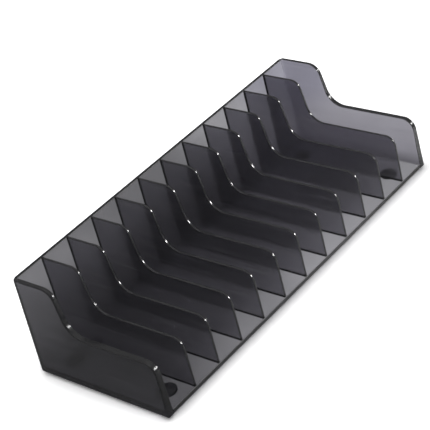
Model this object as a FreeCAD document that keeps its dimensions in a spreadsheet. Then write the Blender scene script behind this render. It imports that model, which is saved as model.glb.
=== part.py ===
import FreeCAD, Part
import Sketcher
import math
import os

# A smoked, see-through tray with twelve upright slots for boxed decks of cards.
# X runs along the row of slots, Y from the open front (-Y) to the back wall (+Y), and Z is up.
# The origin is the middle of the tray's footprint, on the surface that its rubber feet stand on.

# Driving dimensions, in millimetres: name, value, meaning.
SIZES = [
    ("tray_length", 304.8, "over the feet of the two end walls"),
    ("tray_depth", 114.3, "floor's front edge to the back wall's rim"),
    ("tray_height", 76.2, "table to rim"),
    ("foot_height", 2.5, "table to the underside of the floor"),
    ("foot_diameter", 12.7, "rubber foot"),
    ("foot_rounding", 0.8, "lower edge of a foot"),
    ("foot_end_inset", 21.0, "foot's centre from the tray's end"),
    ("foot_edge_inset", 18.0, "foot's centre from the tray's front or back edge"),
    ("adhesive_diameter", 11.4, "disc between a foot and the floor"),
    ("adhesive_thickness", 0.3, "disc between a foot and the floor"),
    ("floor_thickness", 3.3, "floor panel"),
    ("floor_rounding", 0.5, "front edges of the floor panel"),
    ("back_thickness", 2.7, "back wall"),
    ("back_lean", 1.5, "how far the back wall's rim stands behind its foot"),
    ("back_rounding", 0.5, "upper edges of the back wall"),
    ("end_rim_thickness", 3.1, "end wall at its rim"),
    ("end_taper", 2.7, "how much thicker an end wall is at its foot"),
    ("end_shoulder", 10.3, "radius at the top of an end wall's step"),
    ("end_hollow", 14.5, "radius at the foot of an end wall's step"),
    ("end_nose", 9.2, "radius of an end wall's front corner"),
    ("end_outer_rounding", 1.3, "outer edges of an end wall"),
    ("end_inner_rounding", 0.5, "inner edges of an end wall"),
    ("corner_rounding", 3.0, "upright back corners of the tray"),
    ("divider_thickness", 1.8, "divider"),
    ("divider_shoulder", 8.0, "radius at the top of a divider's step"),
    ("divider_hollow", 13.5, "radius at the foot of a divider's step"),
    ("divider_nose", 8.0, "radius of a divider's front corner"),
    ("divider_rounding", 0.5, "edges of a divider"),
    ("low_rim", 40.8, "floor's underside to the low front part of a plate's rim"),
    ("step_setback", 41.0, "back wall's rim to the foot of a plate's step"),
    ("step_run", 6.4, "how far a plate's step leans back"),
    ("front_lean", 1.4, "how far a plate's front edge leans back"),
]
SLOTS = 12
NEAR = 0.01

# Formulas on those dimensions, in the form that setExpression reads.
FRONT = "-sizes.tray_depth / 2"
BACK_RIM = "sizes.tray_depth / 2"
BACK_FOOT = "(sizes.tray_depth / 2 - sizes.back_lean)"
UNDERSIDE = "sizes.foot_height"
FLOOR_TOP = "(sizes.foot_height + sizes.floor_thickness)"
RIM = "sizes.tray_height"
LOW_RIM = "sizes.foot_height + sizes.low_rim"
STEP_FOOT = "sizes.tray_depth / 2 - sizes.step_setback"
STEP_TOP = STEP_FOOT + " + sizes.step_run"
NOSE = FRONT + " + sizes.front_lean"
LEAN_AT_FLOOR = "sizes.back_lean * sizes.floor_thickness / (sizes.tray_height - sizes.foot_height)"
INSIDE_RIM = BACK_RIM + " - sizes.back_thickness"
INSIDE_FOOT = BACK_FOOT + " - sizes.back_thickness"
INSIDE_FLOOR = INSIDE_FOOT + " + " + LEAN_AT_FLOOR
END_FOOT = "(sizes.end_rim_thickness + sizes.end_taper)"
INSIDE_LENGTH = "(sizes.tray_length - 2 * " + END_FOOT + ")"
PITCH = "((" + INSIDE_LENGTH + " + sizes.divider_thickness) / %d)" % SLOTS


def make_sheet(doc):
    """The sheet of driving dimensions, one row each, with the name as the value's alias."""
    sheet = doc.addObject("Spreadsheet::Sheet", "sizes")
    for row, (alias, value, meaning) in enumerate(SIZES, start=1):
        sheet.set("A%d" % row, alias)
        sheet.set("B%d" % row, str(value))
        sheet.set("C%d" % row, meaning)
        sheet.setAlias("B%d" % row, alias)
    doc.recompute()
    return sheet


doc = FreeCAD.newDocument("deck_tray")
sheet = make_sheet(doc)


def size(alias):
    """The value of one dimension."""
    return float(sheet.get(alias))


def new_body(label):
    """A body that carries its piece's name."""
    body = doc.addObject("PartDesign::Body", label)
    body.Label = label
    return body


def new_sketch(body, role):
    """An empty sketch on one of the body's own origin planes."""
    sketch = body.newObject("Sketcher::SketchObject", body.Label + "_sketch")
    plane = next(f for f in body.Origin.OriginFeatures if f.Role == role)
    sketch.AttachmentSupport = [(plane, "")]
    sketch.MapMode = "FlatFace"
    return sketch


def polygon(sketch, corners):
    """A closed outline of straight edges. Each corner is a pair of formulas, measured from the origin."""
    count = len(corners)
    turn = 2 * math.pi / count
    rough = [FreeCAD.Vector(math.cos(turn * k), math.sin(turn * k), 0) for k in range(count)]
    for k in range(count):
        sketch.addGeometry(Part.LineSegment(rough[k], rough[(k + 1) % count]), False)
    for k in range(count):
        sketch.addConstraint(Sketcher.Constraint("Coincident", k, 2, (k + 1) % count, 1))
    for k, formulas in enumerate(corners):
        for axis, formula in zip("XY", formulas):
            number = sketch.addConstraint(Sketcher.Constraint("Distance" + axis, -1, 1, k, 1, 1.0))
            sketch.renameConstraint(number, "corner%d%s" % (k, axis))
            sketch.setExpression("Constraints.corner%d%s" % (k, axis), formula)
    doc.recompute()


def corner_of(sketch, number):
    """Where a corner of a polygon ended up."""
    return sketch.Geometry[number].StartPoint


def pad(body, sketch, length, side="Symmetric", reverse=False):
    """The sketch made solid, length thick."""
    feature = body.newObject("PartDesign::Pad", body.Label + "_pad")
    feature.Profile = sketch
    feature.SideType = side
    feature.Reversed = reverse
    feature.setExpression("Length", length)
    doc.recompute()
    return feature


def round_edges(body, chosen, radius, name):
    """Round those edges of the body so far for which chosen(edge) is true."""
    base = body.Tip
    names = ["Edge%d" % n for n, edge in enumerate(base.Shape.Edges, start=1) if chosen(edge)]
    if not names:
        raise RuntimeError("nothing to round on " + body.Label)
    feature = body.newObject("PartDesign::Fillet", body.Label + "_" + name)
    feature.Base = (base, names)
    feature.setExpression("Radius", radius)
    doc.recompute()


def across_at(point):
    """Picks the edge that runs straight across a plate at a corner of its YZ outline."""
    def chosen(edge):
        return all(abs(v.Y - point.x) < NEAR and abs(v.Z - point.y) < NEAR for v in edge.Vertexes)

    return chosen


def stepped_outline(body, front_foot, base, back_rim, back_foot):
    """The outline shared by the end walls and the dividers: high at the back, low at the front."""
    sketch = new_sketch(body, "YZ_Plane")
    corners = [
        (front_foot, base),
        (NOSE, LOW_RIM),
        (STEP_FOOT, LOW_RIM),
        (STEP_TOP, RIM),
        (back_rim, RIM),
        (back_foot, base),
    ]
    polygon(sketch, corners)
    return sketch


def round_outline(body, sketch, kind):
    """Round the nose, the hollow and the shoulder of a stepped plate."""
    for corner, name in ((1, "nose"), (2, "hollow"), (3, "shoulder")):
        point = corner_of(sketch, corner)
        round_edges(body, across_at(point), "sizes.%s_%s" % (kind, name), name)


def make_floor():
    """The floor panel, held between the end walls and the back wall; its front edge is open."""
    body = new_body("floor_panel")
    sketch = new_sketch(body, "YZ_Plane")
    polygon(sketch, [(FRONT, UNDERSIDE), (FRONT, FLOOR_TOP), (INSIDE_FLOOR, FLOOR_TOP), (INSIDE_FOOT, UNDERSIDE)])
    pad(body, sketch, INSIDE_LENGTH)
    front = -size("tray_depth") / 2
    round_edges(body, lambda e: along_x(e) and e.CenterOfMass.y < front + NEAR, "sizes.floor_rounding", "front")
    return body


def along_x(edge):
    """True for a straight edge that runs along the tray."""
    first, last = edge.Vertexes[0], edge.Vertexes[-1]
    return abs(first.Y - last.Y) < NEAR and abs(first.Z - last.Z) < NEAR


def make_back():
    """The back wall, which stands between the end walls and leans out a little."""
    body = new_body("back_wall")
    sketch = new_sketch(body, "YZ_Plane")
    polygon(sketch, [(INSIDE_FOOT, UNDERSIDE), (BACK_FOOT, UNDERSIDE), (BACK_RIM, RIM), (INSIDE_RIM, RIM)])
    pad(body, sketch, INSIDE_LENGTH)
    rim = size("tray_height")
    round_edges(body, lambda e: along_x(e) and e.CenterOfMass.z > rim - NEAR, "sizes.back_rounding", "rim")
    return body


def make_end(label, side):
    """An end wall. side is -1 for the left one and 1 for the right one; x = 0 is its inner face."""
    body = new_body(label)
    outline = stepped_outline(body, FRONT, UNDERSIDE, BACK_RIM, BACK_FOOT)
    pad(body, outline, END_FOOT, "One side", side < 0)
    whole = body.Shape.Volume

    # The outer face leans in towards the rim, so a wedge comes off it.
    wedge = new_sketch(body, "XZ_Plane")
    foot = "%d * %s" % (side, END_FOOT)
    beyond = "%d * (%s + 1)" % (side, END_FOOT)
    polygon(wedge, [
        (foot, UNDERSIDE),
        (beyond, UNDERSIDE),
        (beyond, RIM),
        ("%d * sizes.end_rim_thickness" % side, RIM),
    ])
    pocket = body.newObject("PartDesign::Pocket", label + "_taper")
    pocket.Profile = wedge
    pocket.SideType = "Symmetric"
    pocket.Type = "ThroughAll"
    doc.recompute()
    if body.Shape.Volume > whole * 0.9:
        raise RuntimeError(label + ": the taper cut too little")

    round_outline(body, outline, "end")

    slope = size("end_taper") / (size("tray_height") - size("foot_height"))
    foot_thickness = size("end_rim_thickness") + size("end_taper")
    back = size("tray_depth") / 2

    def on_outer_face(edge):
        return all(
            abs(side * v.X - foot_thickness + slope * (v.Z - size("foot_height"))) < NEAR
            for v in edge.Vertexes
        )

    def upright_at_back(edge):
        return on_outer_face(edge) and edge.CenterOfMass.y > back - size("back_lean") - NEAR

    def outer_rim(edge):
        return on_outer_face(edge) and edge.CenterOfMass.y < back - 2 * size("corner_rounding")

    def inner_rim(edge):
        middle = edge.CenterOfMass
        on_inner_face = all(abs(v.X) < NEAR for v in edge.Vertexes)
        raised = middle.z > size("foot_height") + NEAR
        return on_inner_face and raised and middle.y < back - 2 * size("corner_rounding")

    round_edges(body, upright_at_back, "sizes.corner_rounding", "corner")
    round_edges(body, outer_rim, "sizes.end_outer_rounding", "outer")
    round_edges(body, inner_rim, "sizes.end_inner_rounding", "inner")
    body.setExpression("Placement.Base.x", "%d * %s / 2" % (side, INSIDE_LENGTH))
    return body


def make_divider(number):
    """One divider. It stands on the floor, against the back wall, between two slots of equal width."""
    body = new_body("divider_%02d" % number)
    front_foot = FRONT + " + sizes.floor_rounding"
    outline = stepped_outline(body, front_foot, FLOOR_TOP, INSIDE_RIM, INSIDE_FLOOR)
    pad(body, outline, "sizes.divider_thickness")
    round_outline(body, outline, "divider")
    floor_top = size("foot_height") + size("floor_thickness")
    inside = size("tray_depth") / 2 - size("back_thickness") - size("back_lean")

    def rim(edge):
        middle = edge.CenterOfMass
        on_a_face = abs(edge.Vertexes[0].X - edge.Vertexes[-1].X) < NEAR
        return on_a_face and middle.z > floor_top + NEAR and middle.y < inside - NEAR

    round_edges(body, rim, "sizes.divider_rounding", "rim")
    body.setExpression("Placement.Base.x", "%d * %s" % (number - SLOTS // 2, PITCH))
    return body


def make_foot(label, side, depth_side):
    """One rubber foot, a short cylinder with a rounded lower edge. The sides are -1 or 1 in X and in Y."""
    body = new_body(label)
    sketch = new_sketch(body, "XY_Plane")
    sketch.addGeometry(Part.Circle(FreeCAD.Vector(0, 0, 0), FreeCAD.Vector(0, 0, 1), 5.0), False)
    sketch.addConstraint(Sketcher.Constraint("Coincident", 0, 3, -1, 1))
    sketch.addConstraint(Sketcher.Constraint("Diameter", 0, 10.0))
    sketch.renameConstraint(1, "width")
    sketch.setExpression("Constraints.width", "sizes.foot_diameter")
    doc.recompute()
    pad(body, sketch, "sizes.foot_height - sizes.adhesive_thickness", "One side")
    round_edges(body, lambda e: e.CenterOfMass.z < NEAR and len(e.Vertexes) == 1, "sizes.foot_rounding", "edge")
    place_at_foot(body, side, depth_side)
    return body


def place_at_foot(piece, side, depth_side):
    """Move a piece to one of the four feet's centres."""
    piece.setExpression("Placement.Base.x", "%d * (sizes.tray_length / 2 - sizes.foot_end_inset)" % side)
    piece.setExpression("Placement.Base.y", "%d * (sizes.tray_depth / 2 - sizes.foot_edge_inset)" % depth_side)


def make_adhesive(label, side, depth_side):
    """The thin disc that holds one foot to the floor."""
    disc = doc.addObject("Part::Cylinder", label)
    disc.Label = label
    disc.setExpression("Radius", "sizes.adhesive_diameter / 2")
    disc.setExpression("Height", "sizes.adhesive_thickness")
    disc.setExpression("Placement.Base.z", "sizes.foot_height - sizes.adhesive_thickness")
    place_at_foot(disc, side, depth_side)
    return disc


def make_all():
    """Every piece of the tray."""
    pieces = [make_floor(), make_back(), make_end("left_end_wall", -1), make_end("right_end_wall", 1)]
    pieces += [make_divider(number) for number in range(1, SLOTS)]
    for depth_side, depth_name in ((-1, "front"), (1, "rear")):
        for side, side_name in ((-1, "left"), (1, "right")):
            label = "%s_%s_foot" % (depth_name, side_name)
            pieces.append(make_foot(label, side, depth_side))
            pieces.append(make_adhesive(label + "_adhesive", side, depth_side))
    doc.recompute()
    return pieces


def check(pieces):
    """Stop if any object failed or any piece is not one valid solid."""
    for obj in doc.Objects:
        if "Invalid" in obj.State or "Error" in obj.State:
            raise RuntimeError("%s failed: %s" % (obj.Label, obj.State))
    for piece in pieces:
        shape = piece.Shape
        if shape.isNull() or not shape.isValid() or len(shape.Solids) != 1:
            raise RuntimeError(piece.Label + " is not one valid solid")


pieces = make_all()
check(pieces)
os.makedirs("parts", exist_ok=True)
for piece in pieces:
    piece.Shape.exportStep("parts/%s.step" % piece.Label)
    box = piece.Shape.BoundBox
    print("%-28s %9.1f mm3  %s" % (piece.Label, piece.Shape.Volume, box))
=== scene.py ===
import math

import bpy
from mathutils import Matrix, Vector


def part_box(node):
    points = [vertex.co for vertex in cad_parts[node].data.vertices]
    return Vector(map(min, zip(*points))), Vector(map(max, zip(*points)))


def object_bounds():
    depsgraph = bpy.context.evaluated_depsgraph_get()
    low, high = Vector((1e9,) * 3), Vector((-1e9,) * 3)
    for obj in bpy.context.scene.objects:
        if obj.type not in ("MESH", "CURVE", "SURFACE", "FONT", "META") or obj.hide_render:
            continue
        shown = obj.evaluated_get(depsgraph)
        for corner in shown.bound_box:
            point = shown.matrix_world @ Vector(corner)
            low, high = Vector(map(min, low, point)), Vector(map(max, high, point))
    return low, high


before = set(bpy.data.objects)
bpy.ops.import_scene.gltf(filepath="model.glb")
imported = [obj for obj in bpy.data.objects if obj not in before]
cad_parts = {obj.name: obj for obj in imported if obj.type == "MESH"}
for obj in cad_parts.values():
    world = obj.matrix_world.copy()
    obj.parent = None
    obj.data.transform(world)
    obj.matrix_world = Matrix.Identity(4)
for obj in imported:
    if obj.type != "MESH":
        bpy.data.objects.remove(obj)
cad_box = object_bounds()

MM = 0.001

# The camera: what it looks at, from where, and its lens.
LOOK_AT = Vector((-5.1, 9.8, 43.4)) * MM
AZIMUTH, ELEVATION, ROLL = -44.415, 32.427, -14.033
DISTANCE = 1026.8 * MM
LENS = 124.88

# Where one panel meets another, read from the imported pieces.
NEAR = 0.05 * MM
floor_low, floor_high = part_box("floor_panel")
back_low, back_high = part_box("back_wall")
divider_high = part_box("divider_01")[1]
FLOOR_TOP = floor_high.z
INSIDE_HALF = floor_high.x
# The back wall's inner face leans: y = INSIDE_FOOT + LEAN * (z - UNDERSIDE).
UNDERSIDE = floor_low.z
INSIDE_FOOT = back_low.y
LEAN = (divider_high.y - INSIDE_FOOT) / (back_high.z - UNDERSIDE)

# The smoked plastic, piece by piece. The values were tuned until the render matched the
# photograph under this scene's light. They aren't measured properties of a real plastic.
# tint: what both faces of a panel let through, and streaks: how much wipe marks vary it.
# density: how fast the inside absorbs, per metre.
# haze, rim_haze: how much the faces and the edges scatter, from fine scratches and dust.
# rim_shade: how much less the edges let through.
# blur, rim_blur: how rough the faces and the edges are.
PLASTIC = {
    "floor": dict(
        tint=0.65, streaks=0.10, density=0.0, haze=0.03, rim_haze=0.02, rim_shade=0.80,
        blur=0.0, rim_blur=0.35,
    ),
    "back": dict(
        tint=0.455, streaks=0.20, density=0.0, haze=0.03, rim_haze=0.01, rim_shade=0.90,
        blur=0.0, rim_blur=0.35,
    ),
    "end": dict(
        tint=0.72, streaks=0.60, density=180.0, haze=0.045, rim_haze=0.05, rim_shade=0.0,
        blur=0.18, rim_blur=0.15,
    ),
    "divider": dict(
        tint=0.94, streaks=0.06, density=590.0, haze=0.11, rim_haze=0.09, rim_shade=0.40,
        blur=0.14, rim_blur=0.15,
    ),
}
PLASTIC_IOR = 1.5
# A face counts as broad when its normal is this close to the panel's own axis.
BROAD = 0.985
# The dark line at a divider's foot and back: its full and its faded width.
SEAM, SEAM_FADE = 1.2 * MM, 1.7 * MM
SEAM_LIGHT = 0.04

# The table: how bright it is to the camera, and how far the shadow painted round the tray reaches.
TABLE_WHITE = 4.0
PAINTED_SHADOW_REACH = 12 * MM
TABLE_HALF = 3.0

# The lamp that makes the glints.
LAMP_AZIMUTH, LAMP_ELEVATION, LAMP_DISTANCE = 40.0, 24.0, 4.0


def direction(azimuth, elevation):
    """A unit vector towards that azimuth and elevation, in degrees. Azimuth 0 is the front, -Y."""
    a, e = math.radians(azimuth), math.radians(elevation)
    return Vector((math.sin(a) * math.cos(e), -math.cos(a) * math.cos(e), math.sin(e)))


def make_camera():
    """The camera at the photograph's viewing angle."""
    back = direction(AZIMUTH, ELEVATION)
    data = bpy.data.cameras.new("camera")
    data.lens = LENS
    data.clip_start, data.clip_end = 0.05, 50
    camera = bpy.data.objects.new("camera", data)
    aim = (-back).to_track_quat("-Z", "Y").to_matrix().to_4x4()
    roll = Matrix.Rotation(math.radians(ROLL), 4, "Z")
    camera.matrix_world = Matrix.Translation(LOOK_AT + back * DISTANCE) @ aim @ roll
    bpy.context.scene.collection.objects.link(camera)
    bpy.context.scene.camera = camera


class Nodes:
    """A node tree, with short ways to add and join nodes."""

    def __init__(self, owner):
        owner.use_nodes = True
        self.tree = owner.node_tree
        self.tree.nodes.clear()

    def add(self, kind, **inputs):
        node = self.tree.nodes.new("ShaderNode" + kind)
        for name, value in inputs.items():
            self.set(node.inputs[name.replace("_", " ")], value)
        return node

    def set(self, socket, value):
        if isinstance(value, bpy.types.NodeSocket):
            self.tree.links.new(value, socket)
        else:
            socket.default_value = value

    def math(self, operation, *values):
        node = self.tree.nodes.new("ShaderNodeMath")
        node.operation = operation
        for socket, value in zip(node.inputs, values):
            self.set(socket, value)
        return node.outputs[0]

    def least(self, *values):
        """The product of values that are 0 to 1: 1 only where all of them are 1."""
        result = values[0]
        for value in values[1:]:
            result = self.math("MULTIPLY", result, value)
        return result

    def most(self, *values):
        """The largest of the values: 1 where any of them is 1."""
        result = values[0]
        for value in values[1:]:
            result = self.math("MAXIMUM", result, value)
        return result

    def fade(self, mask, start, end):
        """start where the mask is 0, end where it is 1."""
        return self.math("MULTIPLY_ADD", mask, self.math("SUBTRACT", end, start), start)

    def soft(self, value, start, end):
        """A smooth rise from 0 at start to 1 at end."""
        node = self.add("MapRange", Value=value)
        node.interpolation_type = "SMOOTHSTEP"
        low, high = min(start, end), max(start, end)
        node.inputs["From Min"].default_value = low
        node.inputs["From Max"].default_value = high
        node.inputs["To Min"].default_value = 0.0 if start < end else 1.0
        node.inputs["To Max"].default_value = 1.0 if start < end else 0.0
        return node.outputs[0]

    def noise(self, stretch, scale, detail):
        """Noise in the object's own space, stretched, from 0 to 1."""
        coordinates = self.add("TexCoord")
        mapping = self.add("Mapping", Vector=coordinates.outputs["Object"], Scale=stretch)
        return self.add("TexNoise", Vector=mapping.outputs[0], Scale=scale, Detail=detail).outputs[0]

    def colour(self, value, red=1.0, green=1.0, blue=1.0):
        """A colour that is that value times red, green and blue."""
        shares = [self.math("MULTIPLY", value, share) for share in (red, green, blue)]
        return self.add("CombineColor", Red=shares[0], Green=shares[1], Blue=shares[2]).outputs[0]

    def place(self):
        """The point's own x, y and z, in metres."""
        coordinates = self.add("TexCoord")
        return self.add("SeparateXYZ", Vector=coordinates.outputs["Object"]).outputs


def new_material(name):
    """A material, its nodes and its output node."""
    material = bpy.data.materials.new(name)
    nodes = Nodes(material)
    return material, nodes, nodes.add("OutputMaterial")


def back_face(nodes, z):
    """The y of the back wall's leaning inner face at that height."""
    return nodes.math("MULTIPLY_ADD", nodes.math("SUBTRACT", z, UNDERSIDE), LEAN, INSIDE_FOOT)


def seam(nodes):
    """1 along the line where a divider meets the back wall and the floor."""
    _, y, z = nodes.place()
    short = nodes.math("SUBTRACT", back_face(nodes, z), y)
    high = nodes.math("SUBTRACT", z, FLOOR_TOP)
    return nodes.most(
        nodes.soft(short, SEAM_FADE, SEAM),
        nodes.soft(high, SEAM_FADE, SEAM),
    )


def bonded(nodes, piece):
    """1 where the floor, back and end walls are welded together, so that light passes straight on."""
    x, y, z = nodes.place()
    side = nodes.math("ABSOLUTE", x)
    inside_y = back_face(nodes, z)
    low = nodes.math("LESS_THAN", z, FLOOR_TOP + NEAR)
    at_back = nodes.math("GREATER_THAN", y, nodes.math("SUBTRACT", inside_y, NEAR))
    at_end = nodes.math("GREATER_THAN", side, INSIDE_HALF - NEAR)
    if piece == "floor":
        return nodes.most(at_end, at_back)
    if piece == "back":
        inner_face = nodes.math("LESS_THAN", y, nodes.math("ADD", inside_y, NEAR))
        return nodes.most(at_end, nodes.least(inner_face, low))
    inner = nodes.math("LESS_THAN", side, INSIDE_HALF + NEAR)
    return nodes.least(inner, nodes.most(low, at_back))


def rim(nodes, piece):
    """1 on a panel's edges, 0 on its two broad faces."""
    broad = {"floor": "Z", "back": "Y"}.get(piece, "X")
    facing = nodes.add("NewGeometry")
    parts = nodes.add("SeparateXYZ", Vector=facing.outputs["Normal"])
    return nodes.math("LESS_THAN", nodes.math("ABSOLUTE", parts.outputs[broad]), BROAD)


def smoked(piece):
    """Smoked clear plastic with wipe marks, dust and a slightly wavy face."""
    look = PLASTIC[piece]
    material, nodes, output = new_material("smoked_" + piece)
    z = nodes.place()["Z"]
    edges = rim(nodes, piece)
    # Wipe marks run level along a panel, so this noise is fine across them and long along them.
    marks = nodes.noise((14, 700, 14) if piece == "floor" else (14, 14, 700), 1.0, 4.0)
    clouds = nodes.noise((1, 1, 1), 38.0, 3.0)
    dust = nodes.soft(nodes.noise((1, 1, 1), 900.0, 2.0), 0.68, 0.78)
    wear = nodes.math("ADD", nodes.soft(marks, 0.45, 0.80), dust)
    haze = nodes.math("MULTIPLY_ADD", wear, 1.2 * look["haze"], 0.6 * look["haze"])
    # Less dust settles high up.
    haze = nodes.math("MULTIPLY", haze, nodes.fade(nodes.soft(z, 0.02, 0.07), 1.0, 0.5))
    haze = nodes.fade(edges, haze, look["rim_haze"])
    through = nodes.math("MULTIPLY_ADD", clouds, 0.16, look["tint"] - 0.08)
    streaks = nodes.math("MULTIPLY_ADD", marks, look["streaks"], 1.0 - look["streaks"] / 2)
    through = nodes.math("MULTIPLY", through, streaks)
    through = nodes.math("MULTIPLY", through, nodes.fade(edges, 1.0, 1.0 - look["rim_shade"]))
    rough = nodes.fade(edges, 0.01 + look["blur"], 0.01 + look["rim_blur"])
    rough = nodes.math("MULTIPLY_ADD", marks, 0.02, rough)
    ior = PLASTIC_IOR
    if piece == "divider":
        through = nodes.math("MULTIPLY", through, nodes.fade(seam(nodes), 1.0, SEAM_LIGHT))
    else:
        welded = bonded(nodes, piece)
        through = nodes.most(through, welded)
        haze = nodes.math("MULTIPLY", haze, nodes.fade(welded, 1.0, 0.0))
        rough = nodes.math("MULTIPLY", rough, nodes.fade(welded, 1.0, 0.0))
        ior = nodes.fade(welded, PLASTIC_IOR, 1.0)
        if piece != "back":
            # A hair of room at the joints, so that a ray meets one face at a time.
            room = nodes.add("Displacement", Height=welded, Midlevel=0.0, Scale=-0.01 * MM)
            nodes.set(output.inputs["Displacement"], room.outputs[0])
            material.displacement_method = "DISPLACEMENT"
    waves = nodes.add("Bump", Height=clouds, Strength=0.3, Distance=0.2 * MM)
    grain = nodes.add("Bump", Height=marks, Strength=0.1, Distance=0.01 * MM, Normal=waves.outputs[0])
    plastic = nodes.add(
        "BsdfPrincipled",
        Base_Color=nodes.colour(through, 1.0, 0.99, 1.05),
        Transmission_Weight=nodes.math("SUBTRACT", 1.0, haze),
        Roughness=rough,
        IOR=ior,
        Normal=grain.outputs[0],
    )
    nodes.set(output.inputs["Surface"], plastic.outputs[0])
    if look["density"] > 0:
        absorb = nodes.add("VolumeAbsorption", Color=(0.015, 0.0, 0.06, 1), Density=look["density"])
        nodes.set(output.inputs["Volume"], absorb.outputs[0])
    return material


def soft_black(name, dark, light, grain_scale, rough):
    """A matt black material with a fine grain: the rubber feet and the adhesive on them."""
    material, nodes, output = new_material(name)
    grain = nodes.noise((1, 1, 1), grain_scale, 4.0)
    patches = nodes.noise((1, 1, 1), 300.0, 2.0)
    bumps = nodes.add("Bump", Height=grain, Strength=0.5, Distance=0.05 * MM)
    matt = nodes.add(
        "BsdfPrincipled",
        Base_Color=nodes.colour(nodes.math("MULTIPLY_ADD", patches, light - dark, dark)),
        Roughness=nodes.math("MULTIPLY_ADD", grain, 0.15, rough - 0.1),
        Normal=bumps.outputs[0],
    )
    nodes.set(output.inputs["Surface"], matt.outputs[0])
    return material


def painted_table_glow(nodes):
    """The table's glow where the plastic shows or mirrors it, as a strength and a colour.

    It is painted light and painted shade, laid out by place on the table, in metres, tuned for the
    camera's view of the tray.
    """
    x, y, _ = nodes.place()
    across = nodes.math("MULTIPLY_ADD", y, -0.5, x)
    front = nodes.soft(y, 0.03, -0.03)
    back = nodes.soft(y, -0.03, 0.03)
    # Painted light: darker at the left, brighter at the right, with its peak nearer the middle in
    # front.
    left = nodes.math("MULTIPLY", nodes.soft(across, -0.12, -0.03), nodes.fade(front, 0.15, 0.20))
    right = nodes.least(nodes.soft(across, 0.01, 0.09), back)
    peak = nodes.least(nodes.soft(across, -0.03, 0.06), front)
    peak = nodes.math("MULTIPLY", peak, nodes.fade(nodes.soft(across, 0.07, 0.12), 1.0, 0.7))
    # A painted pool of light behind the left half of the tray.
    corner = nodes.least(nodes.soft(y, 0.04, 0.13), nodes.soft(x, 0.035, -0.045))
    # A painted pool of light beside the tray's right end, brighter in front.
    beside = nodes.least(nodes.soft(x, 0.155, 0.17), nodes.soft(y, 0.12, 0.05))
    light = nodes.math("ADD", left, 0.10)
    light = nodes.math("MULTIPLY_ADD", right, 0.40, light)
    light = nodes.math("MULTIPLY_ADD", peak, 0.18, light)
    light = nodes.math("MULTIPLY_ADD", corner, 0.24, light)
    # A painted shadow where the back wall would cast one behind it, and painted shade under the tray.
    cast = nodes.least(
        nodes.soft(y, 0.045, 0.06),
        nodes.soft(y, 0.14, 0.08),
        nodes.soft(x, 0.20, 0.04),
        nodes.soft(x, -0.115, -0.09),
    )
    under = nodes.least(
        nodes.soft(y, -0.048, -0.018),
        nodes.soft(y, 0.062, 0.052),
        nodes.soft(nodes.math("ABSOLUTE", x), 0.14, 0.115),
    )
    light = nodes.math("MULTIPLY", light, nodes.fade(cast, 1.0, 0.25))
    light = nodes.math("ADD", light, nodes.math("MULTIPLY", beside, nodes.fade(front, 0.44, 0.66)))
    light = nodes.math("MULTIPLY", light, nodes.fade(under, 1.0, 0.65))
    # A painted bluish cast in the table's light past the right end and behind the tray.
    blue = nodes.least(nodes.soft(x, 0.17, 0.23), nodes.soft(y, 0.05, 0.10))
    tone = nodes.add("MixRGB", Fac=blue, Color1=(1, 1, 1, 1), Color2=(0.95, 0.95, 1.06, 1))
    return light, tone.outputs[0]


def white_with_painted_shadow(nodes):
    """The over-exposed white of the table, with a painted shadow that darkens it close round the
    tray.
    """
    x, y, _ = nodes.place()
    half = (Vector(cad_box[1]) - Vector(cad_box[0])) / 2
    out_x = nodes.most(nodes.math("SUBTRACT", nodes.math("ABSOLUTE", x), half.x), 0.0)
    out_y = nodes.most(nodes.math("SUBTRACT", nodes.math("ABSOLUTE", y), half.y), 0.0)
    square = nodes.math("MULTIPLY_ADD", out_x, out_x, nodes.math("MULTIPLY", out_y, out_y))
    away = nodes.math("SQRT", square)
    close = nodes.most(nodes.math("MULTIPLY_ADD", away, -1 / PAINTED_SHADOW_REACH, 1.0), 0.0)
    # Painted shadow: deeper along the front than at the left end.
    depth = nodes.fade(nodes.soft(x, -0.16, -0.14), 0.15, 0.44)
    shade = nodes.math("MULTIPLY", close, depth)
    return nodes.colour(nodes.math("MULTIPLY_ADD", shade, -TABLE_WHITE, TABLE_WHITE))


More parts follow.
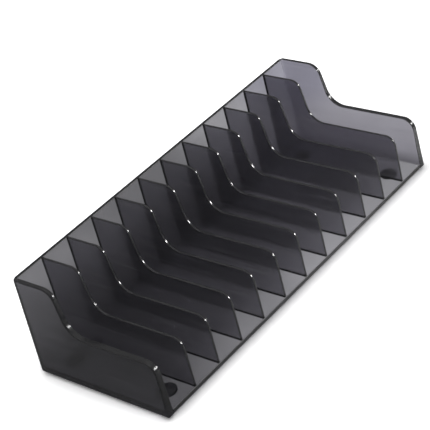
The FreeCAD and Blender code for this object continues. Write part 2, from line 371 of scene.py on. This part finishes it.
def make_table():
    """The pale table: over-exposed white with a painted shadow to the camera, and a glow of painted
    light and shade through and off the plastic.
    """
    material, nodes, output = new_material("table")
    light, tone = painted_table_glow(nodes)
    # For every ray but the camera's, the table glows with the painted light and shade.
    glow = nodes.add("Emission", Color=tone, Strength=light)
    matt = nodes.add("BsdfDiffuse", Color=(0.25, 0.25, 0.25, 1))
    lit = nodes.add("AddShader")
    nodes.set(lit.inputs[0], glow.outputs[0])
    nodes.set(lit.inputs[1], matt.outputs[0])
    exposed = nodes.add("BsdfDiffuse", Color=white_with_painted_shadow(nodes))
    both = nodes.add("MixShader", Fac=nodes.add("LightPath").outputs["Is Camera Ray"])
    nodes.set(both.inputs[1], lit.outputs[0])
    nodes.set(both.inputs[2], exposed.outputs[0])
    nodes.set(output.inputs["Surface"], both.outputs[0])
    around = [(-1, -1), (1, -1), (1, 1), (-1, 1)]
    corners = [(x * TABLE_HALF, y * TABLE_HALF, 0) for x, y in around]
    mesh = bpy.data.meshes.new("table")
    mesh.from_pydata(corners, [], [(0, 1, 2, 3)])
    mesh.materials.append(material)
    table = bpy.data.objects.new("table", mesh)
    bpy.context.scene.collection.objects.link(table)


def make_lights():
    """A white studio, brightest overhead, and one soft lamp that the rounded edges mirror."""
    world = bpy.data.worlds.new("studio")
    nodes = Nodes(world)
    upward = nodes.add("SeparateXYZ", Vector=nodes.add("TexCoord").outputs["Generated"])
    overhead = nodes.math("POWER", nodes.most(upward.outputs["Z"], 0.0), 4.0)
    sky = nodes.add("Background", Color=(1, 1, 1, 1), Strength=nodes.fade(overhead, 0.22, 0.82))
    nodes.set(nodes.add("OutputWorld").inputs["Surface"], sky.outputs[0])
    bpy.context.scene.world = world
    lamp = bpy.data.lights.new("glint", "AREA")
    lamp.shape = "RECTANGLE"
    lamp.size = 1.1
    lamp.size_y = 0.75
    lamp.energy = 105.0
    glint = bpy.data.objects.new("glint", lamp)
    towards = direction(LAMP_AZIMUTH, LAMP_ELEVATION)
    aim = towards.to_track_quat("Z", "Y").to_matrix().to_4x4()
    glint.matrix_world = Matrix.Translation(towards * LAMP_DISTANCE) @ aim
    glint.visible_diffuse = False
    glint.visible_transmission = False
    bpy.context.scene.collection.objects.link(glint)


def paint():
    """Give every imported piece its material."""
    materials = {
        "floor_panel": smoked("floor"),
        "back_wall": smoked("back"),
        "end_wall": smoked("end"),
        "divider": smoked("divider"),
        "adhesive": soft_black("foam_adhesive", 0.09, 0.14, 1800.0, 0.75),
        "foot": soft_black("foot_rubber", 0.015, 0.03, 2600.0, 0.9),
    }
    for name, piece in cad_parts.items():
        word = next(word for word in materials if word in name)
        piece.material_slots[0].material = materials[word]


make_camera()
make_table()
make_lights()
paint()
scene = bpy.context.scene
scene.view_settings.view_transform = "Standard"
scene.cycles.max_bounces = 48
scene.cycles.transmission_bounces = 48
scene.cycles.glossy_bounces = 16
scene.cycles.transparent_max_bounces = 64
